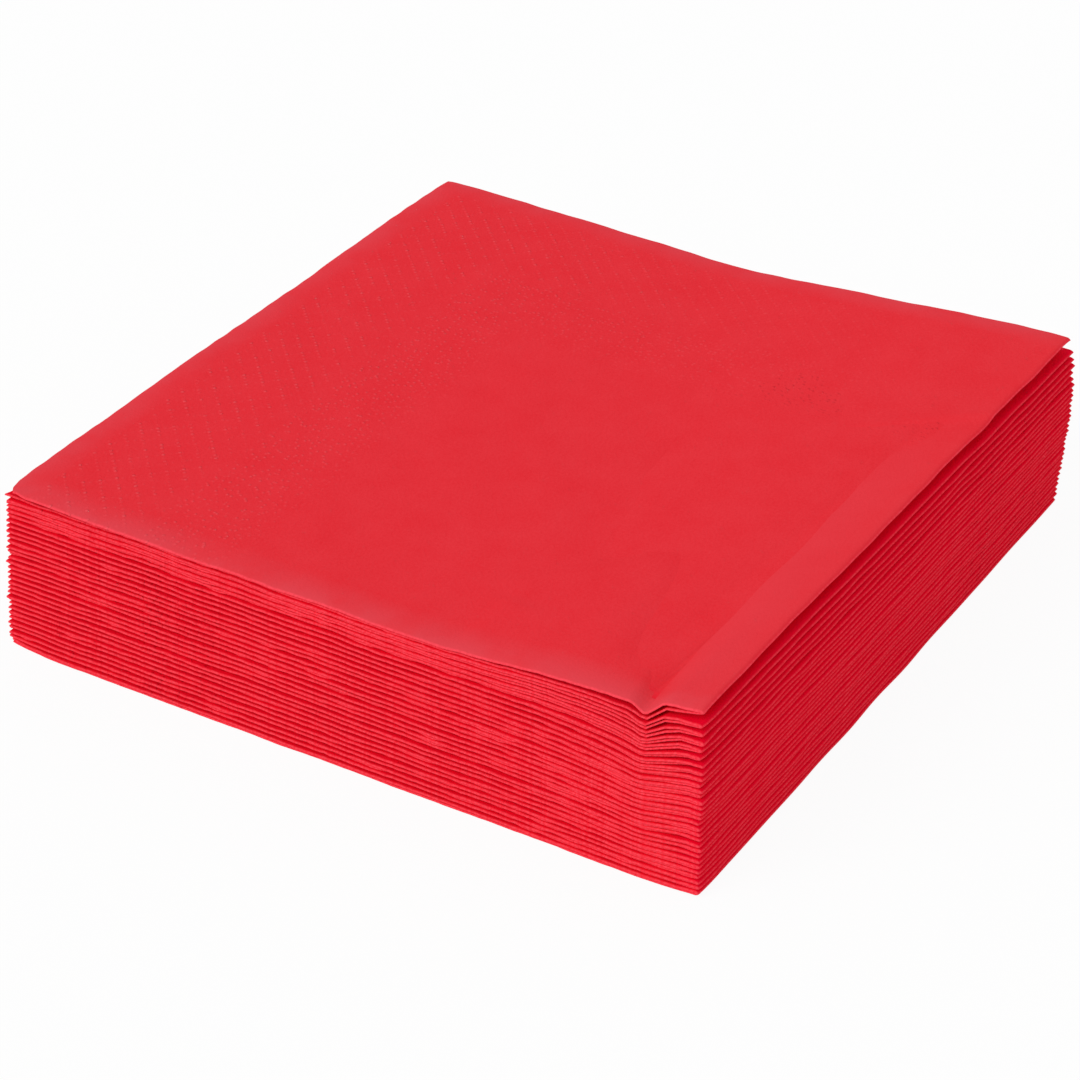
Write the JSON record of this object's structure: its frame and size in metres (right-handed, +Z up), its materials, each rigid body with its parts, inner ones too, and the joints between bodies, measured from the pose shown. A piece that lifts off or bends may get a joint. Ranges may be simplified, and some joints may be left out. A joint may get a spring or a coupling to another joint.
{
  "type": "stack of paper napkins",
  "caption": "Square stack of quarter-folded plain paper napkins with an embossed dot border, lying flat; folds on two faces, cut edges on the other two.",
  "frame": {"origin": "middle of the flat underside of the stack", "axes": "+Z up through the stack; +X towards the second fold of every napkin; -Y towards the first fold, so the cut edges lie at -X and +Y"},
  "size_m": [0.165, 0.165, 0.0419],
  "materials": {
    "tissue": "soft matt, embossed"
  },
  "bodies": {
    "root": {"napkin_01": "tissue", "napkin_02": "tissue", "napkin_03": "tissue", "napkin_04": "tissue", "napkin_05": "tissue", "napkin_06": "tissue", "napkin_07": "tissue", "napkin_08": "tissue", "napkin_09": "tissue", "napkin_10": "tissue", "napkin_11": "tissue", "napkin_12": "tissue", "napkin_13": "tissue", "napkin_14": "tissue", "napkin_15": "tissue", "napkin_16": "tissue", "napkin_17": "tissue", "napkin_18": "tissue", "napkin_19": "tissue", "napkin_20": "tissue", "napkin_21": "tissue", "napkin_22": "tissue", "napkin_23": "tissue", "napkin_24": "tissue", "napkin_25": "tissue", "napkin_26": "tissue", "napkin_27": "tissue", "napkin_28": "tissue", "napkin_29": "tissue", "napkin_30": "tissue"}
  },
  "joints": []
}
